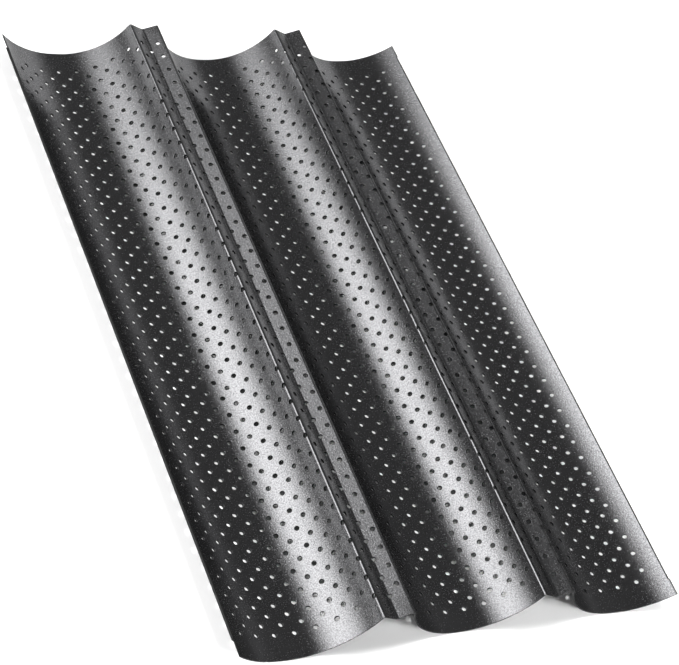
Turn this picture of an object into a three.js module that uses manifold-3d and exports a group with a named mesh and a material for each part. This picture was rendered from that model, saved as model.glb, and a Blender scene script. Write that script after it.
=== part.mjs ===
// Baguette tray: one thin steel sheet pressed into three long troughs.
// Millimetres, +Z up, +Y along the troughs. Origin: centre of the tray, on the surface it rests on.
//
// The whole tray is a single cross-section run along Y, with its ends slightly bowed in. The
// cross-section is drawn as a path of straight runs and bends down the middle of the sheet, from
// the centre trough out to the hem.
// Each named mesh is the stretch of that sheet between two fold lines.

import * as THREE from 'three';
import { mergeVertices } from 'three/addons/utils/BufferGeometryUtils.js';
import Module from 'manifold-3d';

// Overall size
const LENGTH = 380; // along the lips
const WIDTH = 240; // fold line to fold line; the hems stand 1 mm outside it
const HEIGHT = 25;
const SHEET = 0.6;
const END_BOW = 3; // the ends curve in from the corners by this much

// Cross-section
const TROUGH_HALF_WIDTH = 36.5; // middle of a trough to its ridge line
const DIVIDER_WIDTH = 15.4; // ridge line to ridge line
const VALLEY_DEPTH = 3; // ridge top down to the valley between two ridges
const LIP_RISE = 11.4; // trough bottom up to the outer lip
const FOOT_FLAT = 3; // flat strip under each trough
const RIDGE_RADIUS = 0.8; // this bend and the next two are measured at mid-sheet
const VALLEY_RADIUS = 2.5;
const HEM_RADIUS = 0.45;
const HEM_DEPTH = 6; // sheet folded back under the lip

// Corners, where the hem is cut away
const HEM_CUTBACK = 9;
const CORNER_TAB = 1.2;

// Largest turn of one facet, in degrees
const TROUGH_STEP = 4;
const FOLD_STEP = 15;

const COATING = { color: 0x2b2b2d, roughness: 0.42, metalness: 0.75 };

const HALF_SHEET = SHEET / 2;
const END = LENGTH / 2;
const HEM_END = END - HEM_CUTBACK;

// A bend that starts level and climbs `rise` while it goes `run` across.
function bendThrough(run, rise) {
  const angle = 2 * Math.atan(rise / run);
  return { angle, radius: run / Math.sin(angle) };
}

// Slope of a straight run that joins two opposite bends whose radii add up to `radii`,
// so that the run and both bends together go `run` across and `drop` down.
function slopeBetweenBends(run, drop, radii) {
  const reach = Math.hypot(run, radii - drop);
  return Math.asin(radii / reach) - Math.atan2(radii - drop, run);
}

// A path down the middle of the sheet. Every point keeps the direction of travel there,
// so that the two faces of the sheet can be set off square to it.
class SheetPath {
  constructor(x, z, heading = 0) {
    this.points = [{ x, z, heading }];
  }

  get end() {
    return this.points[this.points.length - 1];
  }

  straight(length) {
    const { x, z, heading } = this.end;
    this.points.push({
      x: x + length * Math.cos(heading),
      z: z + length * Math.sin(heading),
      heading,
    });
    return this;
  }

  // Positive angles climb, negative angles dip.
  bend(angle, radius, stepDegrees) {
    const steps = Math.ceil(THREE.MathUtils.radToDeg(Math.abs(angle)) / stepDegrees);
    const side = Math.sign(angle) * radius;
    const { x, z, heading } = this.end;
    const centreX = x - side * Math.sin(heading);
    const centreZ = z + side * Math.cos(heading);
    for (let step = 1; step <= steps; step += 1) {
      const turned = heading + (angle * step) / steps;
      this.points.push({
        x: centreX + side * Math.sin(turned),
        z: centreZ - side * Math.cos(turned),
        heading: turned,
      });
    }
    return this;
  }

  // Starts a new stretch of sheet where this one ends.
  next() {
    return new SheetPath(this.end.x, this.end.z, this.end.heading);
  }
}

function mirrored(points) {
  return points.map(({ x, z, heading }) => ({ x: -x, z, heading: -heading })).reverse();
}

// One closed outline around a path: along its lower face and back along its upper face.
function sheetOutline(points) {
  const face = (side) => points.map(({ x, z, heading }) => new THREE.Vector2(
    x - side * HALF_SHEET * Math.sin(heading),
    z + side * HALF_SHEET * Math.cos(heading),
  ));
  return [...face(-1), ...face(1).reverse()];
}

// Moves both ends of a piece towards the middle of the tray, except at the lips.
function bowEnds(geometry) {
  const { position } = geometry.attributes;
  for (let i = 0; i < position.count; i += 1) {
    const across = position.getX(i) / (WIDTH / 2);
    const y = position.getY(i);
    position.setY(i, y - Math.sign(y) * END_BOW * (1 - across * across));
  }
}

// The sheet that follows a path, from `fromY` to `toY`.
function sheetGeometry(points, fromY, toY) {
  const shape = new THREE.Shape(sheetOutline(points));
  const geometry = new THREE.ExtrudeGeometry(shape, { depth: toY - fromY, bevelEnabled: false });
  geometry.rotateX(Math.PI / 2);
  geometry.translate(0, toY, 0);
  bowEnds(geometry);
  return geometry;
}

const wasm = await Module();
wasm.setup();

function toSolid(geometry) {
  const bare = geometry.clone();
  bare.deleteAttribute('normal');
  bare.deleteAttribute('uv');
  const merged = mergeVertices(bare);
  return new wasm.Manifold(new wasm.Mesh({
    numProp: 3,
    vertProperties: merged.attributes.position.array,
    triVerts: Uint32Array.from(merged.index.array),
  }));
}

function joined(geometries) {
  const solid = geometries.map(toSolid).reduce((whole, piece) => whole.add(piece));
  const { vertProperties, triVerts } = solid.getMesh();
  const geometry = new THREE.BufferGeometry();
  geometry.setAttribute('position', new THREE.BufferAttribute(vertProperties, 3));
  geometry.setIndex(new THREE.BufferAttribute(triVerts, 1));
  return geometry;
}

// The trough wall and the ridge bend above it together climb from the foot to the ridge top.
const wall = bendThrough(TROUGH_HALF_WIDTH - FOOT_FLAT / 2, HEIGHT - SHEET);
const wallRadius = wall.radius - RIDGE_RADIUS;

// The lip's wall climbs from the outer trough's foot to where the hem starts.
const outerTroughX = 2 * TROUGH_HALF_WIDTH + DIVIDER_WIDTH;
const lip = bendThrough(WIDTH / 2 - outerTroughX - FOOT_FLAT / 2, LIP_RISE);

// A divider is two straight bands that meet in the valley.
const bandRun = DIVIDER_WIDTH / 2;
const bandBends = RIDGE_RADIUS + VALLEY_RADIUS;
const bandSlope = slopeBetweenBends(bandRun, VALLEY_DEPTH, bandBends);
const bandLength = (bandRun - bandBends * Math.sin(bandSlope)) / Math.cos(bandSlope);

// The sheet is divided at the middle of each ridge bend.
const halfRidge = -(wall.angle + bandSlope) / 2;

// The stretches of the right half, in order from the middle of the tray.
const halfCentreTrough = new SheetPath(0, HALF_SHEET)
  .straight(FOOT_FLAT / 2)
  .bend(wall.angle, wallRadius, TROUGH_STEP)
  .bend(halfRidge, RIDGE_RADIUS, FOLD_STEP);

const divider = halfCentreTrough.next()
  .bend(halfRidge, RIDGE_RADIUS, FOLD_STEP)
  .straight(bandLength)
  .bend(2 * bandSlope, VALLEY_RADIUS, FOLD_STEP)
  .straight(bandLength)
  .bend(halfRidge, RIDGE_RADIUS, FOLD_STEP);

const outerTrough = divider.next()
  .bend(halfRidge, RIDGE_RADIUS, FOLD_STEP)
  .bend(wall.angle, wallRadius, TROUGH_STEP)
  .straight(FOOT_FLAT)
  .bend(lip.angle, lip.radius, TROUGH_STEP);

const cornerTab = outerTrough.next()
  .straight(CORNER_TAB);

const hem = outerTrough.next()
  .bend(-Math.PI, HEM_RADIUS, FOLD_STEP)
  .bend(-HEM_DEPTH / lip.radius, lip.radius + 2 * HEM_RADIUS, TROUGH_STEP);

const tray = new THREE.Group();

function addPiece(name, geometry) {
  const mesh = new THREE.Mesh(geometry, new THREE.MeshStandardMaterial(COATING));
  mesh.name = name;
  tray.add(mesh);
}

function addCentreTrough() {
  const leftHalf = mirrored(halfCentreTrough.points).slice(0, -1);
  const rightHalf = halfCentreTrough.points.slice(1);
  addPiece('centre_trough', sheetGeometry([...leftHalf, ...rightHalf], -END, END));
}

// Everything on one side of the centre trough.
function addSide(side, onThisSide) {
  const stretch = (path, fromY, toY) => sheetGeometry(onThisSide(path.points), fromY, toY);
  addPiece(`${side}_divider`, stretch(divider, -END, END));
  addPiece(`${side}_trough`, joined([
    stretch(outerTrough, -END, END),
    stretch(cornerTab, -END, -HEM_END),
    stretch(cornerTab, HEM_END, END),
  ]));
  addPiece(`${side}_hem`, stretch(hem, -HEM_END, HEM_END));
}

addCentreTrough();
addSide('right', (points) => points);
addSide('left', mirrored);

export default tray;
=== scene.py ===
"""Baguette tray: one pierced steel sheet pressed into three troughs, with a hem along each lip.

The sheet is modelled the way it is made. A flat blank is outlined and pierced, it is parted along
the fold lines into the frame's pieces, and each piece is bent along the cross-section.

On the flat blank a point is (arc, y, depth): the distance along the sheet from the middle of the
tray, the distance along the troughs, and the height above the middle of the sheet's thickness.
"""

import math

import bmesh
import bpy
import numpy as np
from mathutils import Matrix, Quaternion, Vector
from mathutils.geometry import delaunay_2d_cdt


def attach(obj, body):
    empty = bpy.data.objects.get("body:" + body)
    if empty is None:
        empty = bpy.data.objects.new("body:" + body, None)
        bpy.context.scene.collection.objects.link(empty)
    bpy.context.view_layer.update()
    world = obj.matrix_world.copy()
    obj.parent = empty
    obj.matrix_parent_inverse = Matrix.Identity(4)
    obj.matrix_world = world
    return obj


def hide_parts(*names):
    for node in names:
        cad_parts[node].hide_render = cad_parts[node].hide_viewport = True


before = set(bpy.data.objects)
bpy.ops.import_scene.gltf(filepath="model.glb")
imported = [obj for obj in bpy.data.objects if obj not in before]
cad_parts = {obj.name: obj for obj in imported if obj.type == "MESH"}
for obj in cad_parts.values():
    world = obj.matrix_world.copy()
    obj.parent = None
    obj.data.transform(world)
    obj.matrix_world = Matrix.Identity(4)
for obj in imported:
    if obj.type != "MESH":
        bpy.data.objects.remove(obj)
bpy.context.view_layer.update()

MM = 0.001

# Size of the tray, as in the frame
LENGTH = 380 * MM
WIDTH = 240 * MM
HEIGHT = 25 * MM
SHEET = 0.6 * MM
END_BOW = 3 * MM

# Cross-section, as in the frame
TROUGH_HALF_WIDTH = 36.5 * MM
DIVIDER_WIDTH = 15.4 * MM
VALLEY_DEPTH = 3 * MM
LIP_RISE = 11.4 * MM
FOOT_FLAT = 3 * MM
RIDGE_RADIUS = 0.8 * MM
VALLEY_RADIUS = 2.5 * MM
HEM_RADIUS = 0.45 * MM
HEM_DEPTH = 6 * MM
HEM_CUTBACK = 9 * MM
CORNER_TAB = 1.2 * MM
HALF_SHEET = SHEET / 2
HEM_END = LENGTH / 2 - HEM_CUTBACK

# Largest turn of one facet
TROUGH_STEP = math.radians(4)
FOLD_STEP = math.radians(13)

# Rounding of the cut edges
CUT_ROUND = 0.15 * MM
CUT_STEPS = 3
SHARPEST_MITRE = 0.25

# Perforation: a press tool with nine rows of holes comes down eight times along the sheet
STRIKES = 8
ROWS_PER_STRIKE = 9
COLUMNS = 27
ROW_PITCH = 4.94 * MM
COLUMN_PITCH = 10.26 * MM
FIRST_ROW = -175.8 * MM
MIDDLE_COLUMN = -2.9 * MM
STRIKE_SHIFT = -1.2 * MM
HOLE_RADIUS = 1.15 * MM
RIM_ROUND = 0.2 * MM
RIM_STEPS = 2
BURR = 0.4 * MM
HOLE_SIDES = 14
NEAREST_CORNERS = math.radians(10)
OUTER_RADIUS = HOLE_RADIUS + RIM_ROUND
FACET_REACH = 0.98 * OUTER_RADIUS

# Triangulating the blank: fill the whole hull, and merge points closer than this, in mm
WHOLE_HULL = 0
MERGE_GAP = 1e-6

# Places on the blank that are closer than this count as one place
CLOSE = 1e-7

# Where the normals of a face's corners come from: its vertices, straight down, or the face itself
SMOOTH, UNDERSIDE, FOLD_LINE = 0, 1, 2

# Coating: grey metal flakes, rougher where the sheet is cut, pierced or folded, and painted
# near-black there as painted shade.
# A noise is a size and a level of detail, a relief is a bump's strength and height, and a range
# holds the levels of a noise between which a look changes from its first value to its second.
METALLIC = 0.94
GRAZING_TINT = (0.55, 0.55, 0.55, 1)
GRAIN_NOISE = (0.6 * MM, 2)
FLAKE_RANGE = (0.3, 0.7)
DARK_FLAKES = (0.07, 0.07, 0.072)
PALE_FLAKES = (0.158, 0.158, 0.162)
FLECK_RANGE = (0.4, 0.75)
FLECK_ROUGHNESS = 0.24
GRAIN_RELIEF = (0.9, 0.09 * MM)
WAVE_NOISE = (25 * MM, 3)
GLOSS_RANGE = (0.35, 0.65)
GLOSSIEST, DULLEST = 0.07, 0.11
WAVE_RELIEF = (0.3, 0.15 * MM)
# Painted shade: the near-black colour painted on hole sides, cut edges, hems and a line inside each
# ridge
PAINTED_SHADE_COLOUR = (0.02, 0.02, 0.02)
DULL_ROUGHNESS = 0.4
# Painted shade: a dark line this far inside each ridge, toward the divider, and this wide on each
# side of its middle
RIDGE_SHADE = 0.5 * MM

# The colour sockets of a Mix node, whose names it shares with other sockets
MIX_FIRST_COLOUR, MIX_SECOND_COLOUR, MIX_COLOUR = 6, 7, 2

# Camera: places in metres, its lens and sensor in millimetres
CAMERA_TARGET = Vector((-0.0004, -0.0182, 0.012))
CAMERA_DISTANCE = 1.0307
CAMERA_AZIMUTH = math.radians(-44.34)
CAMERA_ELEVATION = math.radians(43.0)
CAMERA_ROLL = math.radians(30.63)
CAMERA_LENS = 109.05
CAMERA_SENSOR = 36
CAMERA_CLIP = (0.01, 100)

# Lights: where each stands, what it points at, its size and how bright it is
SOFTBOX = ((-0.43, 0.41, 0.486), (-0.04, 0.37, 0.026), (1.1, 1.2), 6.7)
SOFTBOX_WIDE_FADE = [(0.0, 0.0), (0.53, 1.0)]
SOFTBOX_TALL_FADE = [(0.0, 0.0), (0.5, 1.0), (0.58, 1.0), (0.9, 0.0)]
FRONT = ((-0.05, -0.85, 0.85), (0, 0, 0), (0.5, 0.9), 6)
FRONT_WIDE_FADE = [(0.0, 0.0), (0.5, 1.0)]
FRONT_TALL_FADE = [(0.0, 0.5), (0.5, 1.0)]
BACKDROP = ((1.1, 1.6, 0.45), (0, 0, 0.45), (2.4, 0.9), 1.4)
KEY = ((0.2, 0.12, 1.7), (0, 0, 0), (0.5, 0.5), 30)
LOW_LEFT = ((-1.6, 0.05, 0.3), (0, 0, 0), (0.5, 0.2), 330)
LOW_RIGHT = ((0.8, -0.75, 0.19), (0, 0, 0), (0.3, 0.1), 300)

# Surroundings: how bright they are to the eye, on matt surfaces, and in the coating's mirror,
# where they fall off upwards from the horizon to the ceiling
BACKGROUND = 1.0
MATT_LIGHT = 0.28
MIRRORED_HORIZON, MIRRORED_CEILING = 0.25, 0.16
HORIZON_TOP, CEILING_BOTTOM = 0.2, 0.5
FLOOR_RADIUS = 1.05
FLOOR_SIDES = 128
FLOOR_COLOUR = (0.9, 0.9, 0.9, 1)
FLOOR_ROUGHNESS = 0.9


def bend_through(run, rise):
    """Angle and radius of a bend that starts level and climbs rise while it goes run across."""
    angle = 2 * math.atan2(rise, run)
    return angle, run / math.sin(angle)


def slope_between_bends(run, drop, radii):
    """Slope of a straight run between two opposite bends that together go run across, drop down."""
    reach = math.hypot(run, radii - drop)
    return math.asin(radii / reach) - math.atan2(radii - drop, run)


class SheetPath:
    """Straight runs and bends at mid-sheet, from the middle of the tray out to the right."""

    def __init__(self):
        self.arc = 0.0
        self.runs = []
        self.stations = [0.0]
        self.end = (0.0, HALF_SHEET, 0.0)

    def _extend(self, length, curvature, steps):
        self.runs.append((self.arc, *self.end, curvature))
        self.stations += [self.arc + length * step / steps for step in range(1, steps + 1)]
        self.arc += length
        self.end = tuple(float(value[0]) for value in self.at(np.array([self.arc])))

    def straight(self, length):
        self._extend(length, 0.0, 1)

    def bend(self, angle, radius, step):
        steps = math.ceil(abs(angle) / step)
        self._extend(abs(angle) * radius, math.copysign(1 / radius, angle), steps)

    def at(self, arc):
        """x, z and heading at each arc length. The left side mirrors the right."""
        side = np.where(arc < 0, -1.0, 1.0)
        starts = np.array([run[0] for run in self.runs])
        chosen = np.clip(np.searchsorted(starts, abs(arc), side="right") - 1, 0, None)
        start, x, z, heading, curvature = np.array(self.runs)[chosen].T
        along = abs(arc) - start
        turned = heading + curvature * along
        bent = curvature != 0
        safe = np.where(bent, curvature, 1.0)
        across = np.where(bent, (np.sin(turned) - np.sin(heading)) / safe, along * np.cos(heading))
        climb = np.where(bent, (np.cos(heading) - np.cos(turned)) / safe, along * np.sin(heading))
        return side * (x + across), z + climb, side * turned


def cross_section():
    """The path out to the corner tabs, the path through the hem, and where the fold lines are."""
    wall_angle, wall_radius = bend_through(TROUGH_HALF_WIDTH - FOOT_FLAT / 2, HEIGHT - SHEET)
    outer_trough = 2 * TROUGH_HALF_WIDTH + DIVIDER_WIDTH
    lip_angle, lip_radius = bend_through(WIDTH / 2 - outer_trough - FOOT_FLAT / 2, LIP_RISE)
    bends = RIDGE_RADIUS + VALLEY_RADIUS
    slope = slope_between_bends(DIVIDER_WIDTH / 2, VALLEY_DEPTH, bends)
    band = (DIVIDER_WIDTH / 2 - bends * math.sin(slope)) / math.cos(slope)
    half_ridge = -(wall_angle + slope) / 2

    def out_to_lip():
        path = SheetPath()
        path.straight(FOOT_FLAT / 2)
        path.bend(wall_angle, wall_radius - RIDGE_RADIUS, TROUGH_STEP)
        path.bend(half_ridge, RIDGE_RADIUS, FOLD_STEP)
        folds = [path.arc]
        path.bend(half_ridge, RIDGE_RADIUS, FOLD_STEP)
        path.straight(band)
        path.bend(2 * slope, VALLEY_RADIUS, FOLD_STEP)
        path.straight(band)
        path.bend(half_ridge, RIDGE_RADIUS, FOLD_STEP)
        folds.append(path.arc)
        path.bend(half_ridge, RIDGE_RADIUS, FOLD_STEP)
        path.bend(wall_angle, wall_radius - RIDGE_RADIUS, TROUGH_STEP)
        path.straight(FOOT_FLAT)
        path.bend(lip_angle, lip_radius, TROUGH_STEP)
        folds.append(path.arc)
        return path, folds

    sheet, folds = out_to_lip()
    sheet.straight(CORNER_TAB)
    hem, folds = out_to_lip()
    hem.bend(-math.pi, HEM_RADIUS, FOLD_STEP)
    hem.bend(-HEM_DEPTH / lip_radius, lip_radius + 2 * HEM_RADIUS, TROUGH_STEP)
    return sheet, hem, folds


SHEET_PATH, HEM_PATH, (FIRST_RIDGE, SECOND_RIDGE, LIP_FOLD) = cross_section()


def half_length(arc):
    """Half the tray's length at each arc length: the ends curve in from the corners."""
    across = SHEET_PATH.at(arc)[0] / (WIDTH / 2)
    return LENGTH / 2 - END_BOW * (1 - across**2)


# The flat blank


def hole_centres():
    """(arc, y) of every hole. Each second strike lands a little to one side."""
    centres = []
    for row in range(STRIKES * ROWS_PER_STRIKE):
        shift = COLUMN_PITCH / 2 * (row % 2)
        shift += STRIKE_SHIFT * (row // ROWS_PER_STRIKE % 2)
        y = FIRST_ROW + row * ROW_PITCH
        for column in range(COLUMNS):
            arc = MIDDLE_COLUMN + (column - COLUMNS // 2) * COLUMN_PITCH + shift
            centres.append((arc, y))
    return centres


def hole_corners(centre_arc, stations):
    """(angle, station) of each corner of a hole. Where a facet line crosses the hole's edge, the
    station is that line's arc length. The other corners go evenly round, and have None."""
    offsets = stations - centre_arc
    crossed = abs(offsets) < FACET_REACH
    crossings = []
    for station, offset in zip(stations[crossed], offsets[crossed]):
        angle = math.acos(offset / OUTER_RADIUS)
        crossings += [(angle, station), (-angle, station)]
    corners = list(crossings)
    for side in range(HOLE_SIDES):
        angle = math.pi * (2 * side + 1) / HOLE_SIDES - math.pi
        gaps = [abs(math.remainder(angle - taken, 2 * math.pi)) for taken, _ in crossings]
        if min(gaps, default=math.pi) > NEAREST_CORNERS:
            corners.append((angle, None))
    return sorted(corners, key=lambda corner: corner[0])


class BlankPlan:
    """The blank's outline, facet lines and holes, as points and edges in the plane."""

    def __init__(self):
        self.points = []
        self.edges = []
        self.holes = []
        right = np.array(SHEET_PATH.stations[:-1])
        self.stations = np.concatenate([-right[:0:-1], right])
        self.crossings = {station: [] for station in self.stations}
        for centre in hole_centres():
            self._add_hole(centre)
        for station in self.stations:
            self._add_facet_line(station)
        self._add_outline()

    def _point(self, arc, y):
        self.points.append((arc, y))
        return len(self.points) - 1

    def _add_hole(self, centre):
        arc, y = centre
        corners = []
        for angle, station in hole_corners(arc, self.stations):
            corner_y = y + OUTER_RADIUS * math.sin(angle)
            corner_arc = arc + OUTER_RADIUS * math.cos(angle) if station is None else station
            corner = self._point(corner_arc, corner_y)
            corners.append((corner, angle))
            if station is not None:
                self.crossings[station].append((corner_y, corner))
        ring = [corner for corner, _ in corners]
        self.edges += zip(ring, ring[1:] + ring[:1])
        self.holes.append((centre, corners))

    def _add_facet_line(self, station):
        end = float(half_length(np.array([station]))[0]) - CUT_ROUND
        stops = sorted(self.crossings[station])
        stops = [(-end, self._point(station, -end)), *stops, (end, self._point(station, end))]
        self.crossings[station] = stops
        for (_, start), (_, stop) in zip(stops[::2], stops[1::2]):
            self.edges.append((start, stop))

    def _add_outline(self):
        """The ends between the facet lines, and a tab at each corner."""
        for stop in (0, -1):
            ends = [self.crossings[station][stop][1] for station in self.stations]
            self.edges += zip(ends, ends[1:])
        for side in (-1, 1):
            for end in (-1, 1):
                self._add_tab(side, end)

    def _add_tab(self, side, end):
        fold = self.stations[0 if side < 0 else -1]
        corner = self.crossings[fold][0 if end < 0 else -1][1]
        outer = fold + side * (CORNER_TAB - CUT_ROUND)
        far = self._point(outer, self.points[corner][1])
        near = self._point(outer, end * (HEM_END + CUT_ROUND))
        inner = self._point(fold, end * (HEM_END + CUT_ROUND))
        self.edges += [(corner, far), (far, near), (near, inner)]

    def triangles(self):
        """Triangles of sheet, without those in the holes, past the ends and beside the tabs."""
        flat = [Vector(point) / MM for point in self.points]
        _, _, faces, sources, *_ = delaunay_2d_cdt(flat, self.edges, [], WHOLE_HULL, MERGE_GAP)
        back = [source[0] if source else None for source in sources]
        hole_of = {}
        for hole, (_, corners) in enumerate(self.holes):
            hole_of.update((corner, hole) for corner, _ in corners)
        arcs, ys = np.array(self.points).T
        ends = np.array([self.crossings[station][-1][0] for station in self.stations])
        kept = []
        for face in faces:
            corners = [back[corner] for corner in face]
            holes = {hole_of.get(corner) for corner in corners}
            if len(holes) == 1 and None not in holes:
                continue
            arc = arcs[corners].mean()
            y = abs(ys[corners].mean())
            beside_tabs = abs(arc) > LIP_FOLD and y < HEM_END + CUT_ROUND
            if y < np.interp(arc, self.stations, ends) and not beside_tabs:
                kept.append(corners)
        return kept


class FlatSheet:
    """Vertices (arc, y, depth) with their normals, and faces with their kind."""

    def __init__(self):
        self.places = []
        self.normals = []
        self.faces = []
        self.kinds = []

    def vertex(self, place, normal):
        self.places.append(place)
        self.normals.append(normal)
        return len(self.places) - 1

    def face(self, corners, kind=SMOOTH):
        self.faces.append(corners)
        self.kinds.append(kind)

    def band(self, upper, lower, kind=SMOOTH):
        """Quads between two rows of vertices of the same length."""
        for corners in zip(upper, upper[1:], lower[1:], lower):
            self.face(corners, kind)

    def to_mesh(self, name):
        mesh = bpy.data.meshes.new(name)
        mesh.from_pydata(self.places, [], self.faces)
        kinds = mesh.attributes.new("kind", "INT", "FACE")
        kinds.data.foreach_set("value", self.kinds)
        normals = mesh.attributes.new("flat_normal", "FLOAT_VECTOR", "POINT")
        normals.data.foreach_set("vector", np.array(self.normals).ravel())
        return mesh


def closed_sheet(name, points, triangles, holes=()):
    """A flat plan given the sheet's thickness, rims round its holes and rounded cut edges."""
    sheet = FlatSheet()
    upper = [sheet.vertex((arc, y, HALF_SHEET), (0, 0, 1)) for arc, y in points]
    lower = [sheet.vertex((arc, y, -HALF_SHEET), (0, 0, -1)) for arc, y in points]
    for centre, corners in holes:
        add_rim(sheet, centre, corners, upper, lower)
    edges = set()
    for a, b, c in triangles:
        sheet.face((upper[a], upper[b], upper[c]))
        sheet.face((lower[c], lower[b], lower[a]))
        edges.update(((a, b), (b, c), (c, a)))
    in_a_rim = {corner for _, corners in holes for corner, _ in corners}
    outline = [(a, b) for a, b in edges if (b, a) not in edges and a not in in_a_rim]
    add_cut_edges(sheet, points, sorted(outline), upper, lower)
    return sheet.to_mesh(name)


def add_rim(sheet, centre, corners, upper, lower):
    """A hole's side: rounded in at the top where the punch came down, a small burr underneath."""
    outer = [upper[corner] for corner, _ in corners]
    turns = [math.pi / 2 * step / RIM_STEPS for step in range(1, RIM_STEPS + 1)]
    profile = []
    for turn in turns:
        radius = OUTER_RADIUS - RIM_ROUND * math.sin(turn)
        depth = HALF_SHEET - RIM_ROUND * (1 - math.cos(turn))
        profile.append((radius, depth, turn))
    profile.append((HOLE_RADIUS, -HALF_SHEET - BURR, math.pi / 2))
    for radius, depth, turn in profile:
        inner = []
        for _, angle in corners:
            out = (math.cos(angle), math.sin(angle))
            place = (centre[0] + radius * out[0], centre[1] + radius * out[1], depth)
            normal = (-math.sin(turn) * out[0], -math.sin(turn) * out[1], math.cos(turn))
            inner.append(sheet.vertex(place, normal))
        sheet.band(outer + outer[:1], inner + inner[:1])
        outer = inner
    under = [lower[corner] for corner, _ in corners]
    sheet.band(outer + outer[:1], under + under[:1], UNDERSIDE)


def on_lip_seam(*places):
    """Whether all these places are where the trough's sheet carries on into the hem."""
    seam_end = HEM_END + 2 * CUT_ROUND
    return all(abs(abs(arc) - LIP_FOLD) < CLOSE and abs(y) < seam_end for arc, y in places)


def add_cut_edges(sheet, points, outline, upper, lower):
    """Closes the outline: rounded where the sheet was cut, plain where the hem carries on."""
    outward = {}
    for a, b in outline:
        if on_lip_seam(points[a], points[b]):
            continue
        along = Vector(points[b]) - Vector(points[a])
        for point in (a, b):
            outward.setdefault(point, []).append(Vector((along.y, -along.x)).normalized())
    rows = {}
    for point, directions in outward.items():
        out = (directions[0] + directions[-1]) / 2
        mitre = out / max(out.length_squared, SHARPEST_MITRE)
        middle = cut_edge_row(sheet, points[point], mitre)
        rows[point] = [upper[point], *middle, lower[point]]
    for a, b in outline:
        if on_lip_seam(points[a], points[b]):
            sheet.face((*rows[a], *rows[b][::-1]), FOLD_LINE)
        else:
            sheet.band(rows[a], rows[b])


def cut_edge_row(sheet, point, mitre):
    """Vertices round a cut edge, between its top and bottom ones."""
    row = []
    unit = mitre.normalized()
    turns = [math.pi / 2 * step / CUT_STEPS for step in range(1, CUT_STEPS + 1)]
    for side, side_turns in ((1, turns), (-1, turns[::-1])):
        for turn in side_turns:
            offset = CUT_ROUND * math.sin(turn)
            depth = side * (HALF_SHEET - CUT_ROUND * (1 - math.cos(turn)))
            place = (point[0] + mitre.x * offset, point[1] + mitre.y * offset, depth)
            normal = (unit.x * math.sin(turn), unit.y * math.sin(turn), side * math.cos(turn))
            row.append(sheet.vertex(place, normal))
    return row


def pierced_blank():
    """The whole flat sheet, without the hems."""
    plan = BlankPlan()
    return closed_sheet("flat_blank", plan.points, plan.triangles(), plan.holes)


def hem_blank(side):
    """The flat strip that is folded under one lip."""
    arcs = [side * station for station in HEM_PATH.stations if station > LIP_FOLD - CLOSE]
    arcs[-1] -= side * CUT_ROUND
    end = HEM_END - CUT_ROUND
    points = [(arc, y) for arc in arcs[::side] for y in (-end, end)]
    triangles = []
    for near in range(0, len(points) - 2, 2):
        triangles += [(near, near + 2, near + 3), (near, near + 3, near + 1)]
    return closed_sheet("flat_hem", points, triangles)


# Parting and bending


def parted(blank, start, stop):
    """The stretch of blank between two arc lengths, closed where it was parted. An arc length
    past the lip's fold is the blank's own edge, so nothing is parted there."""
    form = bmesh.new()
    form.from_mesh(blank)
    kind = form.faces.layers.int["kind"]
    for arc, side in ((start, -1), (stop, 1)):
        if abs(arc) >= LIP_FOLD:
            continue
        cut = bmesh.ops.bisect_plane(
            form,
            geom=[*form.verts, *form.edges, *form.faces],
            dist=CLOSE,
            plane_co=(arc, 0, 0),
            plane_no=(side, 0, 0),
            clear_outer=True,
        )
        edges = [item for item in cut["geom_cut"] if isinstance(item, bmesh.types.BMEdge)]
        for face in bmesh.ops.edgeloop_fill(form, edges=edges)["faces"]:
            face[kind] = FOLD_LINE
            face.normal_update()
            if face.normal.x * side < 0:
                face.normal_flip()
    mesh = bpy.data.meshes.new(blank.name)
    form.to_mesh(mesh)
    form.free()
    return mesh


def read_vectors(items, field):
    """One row of three numbers for each item."""
    values = np.zeros(len(items) * 3)
    items.foreach_get(field, values)
    return values.reshape(-1, 3)


def corner_normals(mesh):
    """The flat normal at every corner of every face, and the corner's vertex."""
    vertices = np.zeros(len(mesh.loops), int)
    mesh.loops.foreach_get("vertex_index", vertices)
    counts = np.zeros(len(mesh.polygons), int)
    mesh.polygons.foreach_get("loop_total", counts)
    kinds = np.zeros(len(mesh.polygons), int)
    mesh.attributes["kind"].data.foreach_get("value", kinds)
    kinds = np.repeat(kinds, counts)
    faces = np.repeat(read_vectors(mesh.polygons, "normal"), counts, axis=0)
    normals = read_vectors(mesh.attributes["flat_normal"].data, "vector")[vertices]
    normals[kinds == UNDERSIDE] = (0, 0, -1)
    normals[kinds == FOLD_LINE] = faces[kinds == FOLD_LINE]
    return normals, vertices


def mark_painted_shade_and_dulling(mesh, arc):
    """How much painted shade and dulling the coating gets at each vertex, from 0 to 1: full at cut
    edges, holes and hems, and on a narrow line inside each ridge. Where it is full, the colour is
    painted near-black as painted shade and the coating is rougher."""
    upright = abs(read_vectors(mesh.attributes["flat_normal"].data, "vector")[:, 2])
    out = abs(arc)
    # A painted shade line on the divider side of each ridge's bend
    first_line = abs(out - (FIRST_RIDGE + RIDGE_SHADE))
    second_line = abs(out - (SECOND_RIDGE - RIDGE_SHADE))
    painted_shade_and_dulling = np.maximum(1 - upright, 1 - np.minimum(first_line, second_line) / RIDGE_SHADE)
    painted_shade_and_dulling[out > LIP_FOLD + CLOSE] = 1.0
    layer = mesh.attributes.new("painted_shade_and_dulling", "FLOAT", "POINT")
    layer.data.foreach_set("value", painted_shade_and_dulling)


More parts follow.
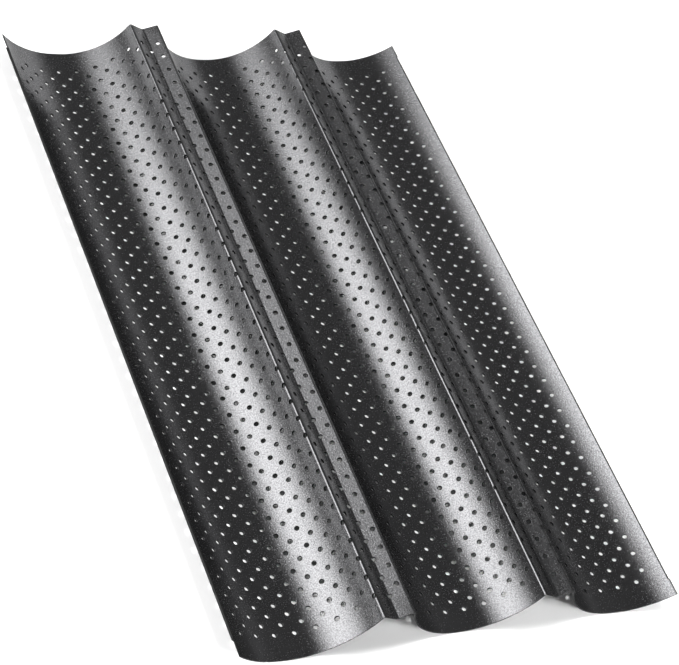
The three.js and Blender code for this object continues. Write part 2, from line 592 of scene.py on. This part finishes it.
def bent(mesh, path):
    """Bends a flat mesh along the path, with the normals of the curve itself."""
    normals, vertices = corner_normals(mesh)
    arc, y, depth = read_vectors(mesh.vertices, "co").T
    x, z, heading = path.at(arc)
    cosine, sine = np.cos(heading), np.sin(heading)
    places = np.column_stack([x - depth * sine, y, z + depth * cosine])
    mesh.vertices.foreach_set("co", places.ravel())
    cosine, sine = cosine[vertices], sine[vertices]
    along, across, up = normals.T
    turned = np.column_stack([along * cosine - up * sine, across, along * sine + up * cosine])
    turned /= np.linalg.norm(turned, axis=1, keepdims=True)
    mark_painted_shade_and_dulling(mesh, arc)
    for layer in ("kind", "flat_normal"):
        mesh.attributes.remove(mesh.attributes[layer])
    mesh.update()
    mesh.shade_smooth()
    mesh.normals_split_custom_set(turned)
    return mesh


def add_piece(name, mesh, node, material):
    """Shows a bent stretch of sheet in place of its CAD node."""
    mesh.name = name
    mesh.materials.append(material)
    piece = bpy.data.objects.new(name, mesh)
    bpy.context.scene.collection.objects.link(piece)
    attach(piece, "root")
    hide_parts(node)


def add_tray(material):
    blank = pierced_blank()
    stretches = [
        ("left_trough", -SHEET_PATH.arc, -SECOND_RIDGE),
        ("left_divider", -SECOND_RIDGE, -FIRST_RIDGE),
        ("centre_trough", -FIRST_RIDGE, FIRST_RIDGE),
        ("right_divider", FIRST_RIDGE, SECOND_RIDGE),
        ("right_trough", SECOND_RIDGE, SHEET_PATH.arc),
    ]
    for node, start, stop in stretches:
        add_piece(f"pierced_{node}", bent(parted(blank, start, stop), SHEET_PATH), node, material)
    for node, side in (("left_hem", -1), ("right_hem", 1)):
        add_piece(f"folded_{node}", bent(hem_blank(side), HEM_PATH), node, material)
    bpy.data.meshes.remove(blank)


# Material


def coated_steel():
    """Dark satin non-stick coating with a fine metallic grain."""
    material = bpy.data.materials.new("coated_sheet")
    material.use_nodes = True
    tree = material.node_tree
    shader = tree.nodes["Principled BSDF"]
    shader.inputs["Metallic"].default_value = METALLIC
    shader.inputs["Specular Tint"].default_value = GRAZING_TINT
    # Mask of painted shade and dulling: near-black painted shade and extra roughness at holes, cut
    # edges, hems and inside each ridge
    painted_shade_and_dulling = tree.nodes.new("ShaderNodeAttribute")
    painted_shade_and_dulling.attribute_name = "painted_shade_and_dulling"
    place = tree.nodes.new("ShaderNodeTexCoord")
    grain = add_noise(tree, place, GRAIN_NOISE)
    waves = add_noise(tree, place, WAVE_NOISE)
    tree.links.new(coating_colour(tree, grain, painted_shade_and_dulling), shader.inputs["Base Color"])
    tree.links.new(coating_roughness(tree, grain, waves, painted_shade_and_dulling), shader.inputs["Roughness"])
    tree.links.new(coating_relief(tree, grain, waves), shader.inputs["Normal"])
    return material


def coating_colour(tree, grain, painted_shade_and_dulling):
    # Flake grain, painted near-black as painted shade where the mask is full
    flakes = add_ramp(tree, grain, FLAKE_RANGE, DARK_FLAKES, PALE_FLAKES)
    return add_mix(tree, painted_shade_and_dulling, flakes, PAINTED_SHADE_COLOUR)


def coating_roughness(tree, grain, waves, painted_shade_and_dulling):
    """Uneven gloss, with each pale flake a little rougher."""
    gloss = add_ramp(tree, waves, GLOSS_RANGE, grey(GLOSSIEST), grey(DULLEST))
    flecks = add_ramp(tree, grain, FLECK_RANGE, grey(0), grey(FLECK_ROUGHNESS))
    total = tree.nodes.new("ShaderNodeMath")
    total.operation = "ADD"
    tree.links.new(add_mix(tree, painted_shade_and_dulling, gloss, grey(DULL_ROUGHNESS)), total.inputs[0])
    tree.links.new(flecks.outputs["Color"], total.inputs[1])
    return total.outputs["Value"]


def coating_relief(tree, grain, waves):
    """Slow waves left by the press, with the grain on top."""
    pressed = add_bump(tree, waves, WAVE_RELIEF)
    speckled = add_bump(tree, grain, GRAIN_RELIEF)
    tree.links.new(pressed.outputs["Normal"], speckled.inputs["Normal"])
    return speckled.outputs["Normal"]


def grey(level):
    return (level, level, level)


def add_mix(tree, factor, plain, colour):
    """The plain ramp's colour where factor is 0, the other colour where it is 1."""
    mix = tree.nodes.new("ShaderNodeMix")
    mix.data_type = "RGBA"
    tree.links.new(factor.outputs["Fac"], mix.inputs["Factor"])
    tree.links.new(plain.outputs["Color"], mix.inputs[MIX_FIRST_COLOUR])
    mix.inputs[MIX_SECOND_COLOUR].default_value = (*colour, 1)
    return mix.outputs[MIX_COLOUR]


def add_noise(tree, place, pattern):
    size, detail = pattern
    noise = tree.nodes.new("ShaderNodeTexNoise")
    noise.inputs["Scale"].default_value = 1 / size
    noise.inputs["Detail"].default_value = detail
    tree.links.new(place.outputs["Object"], noise.inputs["Vector"])
    return noise


def add_ramp(tree, source, levels, *colours):
    """Turns a noise into colours, one at each level of the noise."""
    ramp = tree.nodes.new("ShaderNodeValToRGB")
    for element, level, colour in zip(ramp.color_ramp.elements, levels, colours):
        element.position = level
        element.color = (*colour, 1)
    tree.links.new(source.outputs["Fac"], ramp.inputs["Fac"])
    return ramp


def add_bump(tree, source, relief):
    strength, height = relief
    bump = tree.nodes.new("ShaderNodeBump")
    bump.inputs["Strength"].default_value = strength
    bump.inputs["Distance"].default_value = height
    tree.links.new(source.outputs["Fac"], bump.inputs["Height"])
    return bump


# Camera, light and floor


def add_camera():
    data = bpy.data.cameras.new("camera")
    data.sensor_width = CAMERA_SENSOR
    data.lens = CAMERA_LENS
    data.clip_start, data.clip_end = CAMERA_CLIP
    camera = bpy.data.objects.new("camera", data)
    bpy.context.scene.collection.objects.link(camera)
    back = Vector(
        (
            math.sin(CAMERA_AZIMUTH) * math.cos(CAMERA_ELEVATION),
            -math.cos(CAMERA_AZIMUTH) * math.cos(CAMERA_ELEVATION),
            math.sin(CAMERA_ELEVATION),
        )
    )
    camera.location = CAMERA_TARGET + back * CAMERA_DISTANCE
    camera.rotation_mode = "QUATERNION"
    camera.rotation_quaternion = back.to_track_quat("Z", "Y") @ Quaternion((0, 0, 1), CAMERA_ROLL)
    bpy.context.scene.camera = camera


def add_area_light(name, light, diffuse=True, glossy=True):
    place, target, size, strength = light
    data = bpy.data.lights.new(name, "AREA")
    data.shape = "RECTANGLE"
    data.size, data.size_y = size
    data.energy = strength * size[0] * size[1] * math.pi
    lamp = bpy.data.objects.new(name, data)
    lamp.location = place
    lamp.rotation_mode = "QUATERNION"
    lamp.rotation_quaternion = (Vector(place) - Vector(target)).to_track_quat("Z", "Y")
    lamp.visible_camera = False
    lamp.visible_diffuse = diffuse
    lamp.visible_glossy = glossy
    bpy.context.scene.collection.objects.link(lamp)
    return data


def soften(light, wide, tall):
    """Fades an area light. Each list has (place, brightness), across it and up it, from 0 to 1.
    Past a list's last place, its brightness stays the same."""
    light.use_nodes = True
    tree = light.node_tree
    surface = tree.nodes.new("ShaderNodeNewGeometry")
    split = tree.nodes.new("ShaderNodeSeparateXYZ")
    product = tree.nodes.new("ShaderNodeMath")
    product.operation = "MULTIPLY"
    tree.links.new(surface.outputs["Parametric"], split.inputs[0])
    for axis, stops in enumerate((wide, tall)):
        ramp = tree.nodes.new("ShaderNodeValToRGB")
        ramp.color_ramp.interpolation = "EASE"
        for place, brightness in stops:
            stop = ramp.color_ramp.elements.new(place)
            stop.color = (*grey(brightness), 1)
        for spare in (ramp.color_ramp.elements[-1], ramp.color_ramp.elements[0]):
            ramp.color_ramp.elements.remove(spare)
        tree.links.new(split.outputs[axis], ramp.inputs["Fac"])
        tree.links.new(ramp.outputs["Color"], product.inputs[axis])
    tree.links.new(product.outputs["Value"], tree.nodes["Emission"].inputs["Strength"])


def add_lights():
    """Soft lights that only the coating mirrors, and small ones that only light the floor."""
    soften(add_area_light("softbox", SOFTBOX, diffuse=False), SOFTBOX_WIDE_FADE, SOFTBOX_TALL_FADE)
    add_area_light("backdrop", BACKDROP, diffuse=False)
    soften(add_area_light("front", FRONT, diffuse=False), FRONT_WIDE_FADE, FRONT_TALL_FADE)
    add_area_light("key", KEY, glossy=False)
    add_area_light("low_left", LOW_LEFT, glossy=False)
    add_area_light("low_right", LOW_RIGHT, glossy=False)


def add_world():
    """White to the eye. The coating mirrors a dark ceiling above a paler horizon."""
    world = bpy.data.worlds.new("studio")
    world.use_nodes = True
    bpy.context.scene.world = world
    tree = world.node_tree
    direction = tree.nodes.new("ShaderNodeTexCoord")
    split = tree.nodes.new("ShaderNodeSeparateXYZ")
    falloff = tree.nodes.new("ShaderNodeMapRange")
    falloff.inputs["From Min"].default_value = HORIZON_TOP
    falloff.inputs["From Max"].default_value = CEILING_BOTTOM
    falloff.inputs["To Min"].default_value = MIRRORED_HORIZON
    falloff.inputs["To Max"].default_value = MIRRORED_CEILING
    path = tree.nodes.new("ShaderNodeLightPath")
    seen = add_choice(tree, path.outputs["Is Glossy Ray"])
    strength = add_choice(tree, path.outputs["Is Diffuse Ray"])
    tree.links.new(direction.outputs["Generated"], split.inputs[0])
    tree.links.new(split.outputs["Z"], falloff.inputs["Value"])
    seen.inputs["A"].default_value = BACKGROUND
    tree.links.new(falloff.outputs["Result"], seen.inputs["B"])
    tree.links.new(seen.outputs["Result"], strength.inputs["A"])
    strength.inputs["B"].default_value = MATT_LIGHT
    background = tree.nodes["Background"]
    background.inputs["Color"].default_value = (1, 1, 1, 1)
    tree.links.new(strength.outputs["Result"], background.inputs["Strength"])


def add_choice(tree, factor):
    """A number that is input A where factor is 0, and input B where it is 1."""
    choice = tree.nodes.new("ShaderNodeMix")
    tree.links.new(factor, choice.inputs["Factor"])
    return choice


def add_floor():
    """A matt white disc, at the height of the burrs that the tray rests on."""
    bpy.ops.mesh.primitive_circle_add(
        vertices=FLOOR_SIDES, radius=FLOOR_RADIUS, fill_type="NGON", location=(0, 0, -BURR)
    )
    floor = bpy.context.object
    floor.name = "floor"
    material = bpy.data.materials.new("floor")
    material.use_nodes = True
    shader = material.node_tree.nodes["Principled BSDF"]
    shader.inputs["Base Color"].default_value = FLOOR_COLOUR
    shader.inputs["Roughness"].default_value = FLOOR_ROUGHNESS
    shader.inputs["Specular IOR Level"].default_value = 0.0
    floor.data.materials.append(material)


add_camera()
add_tray(coated_steel())
add_floor()
add_world()
add_lights()
bpy.context.scene.view_settings.view_transform = "Standard"
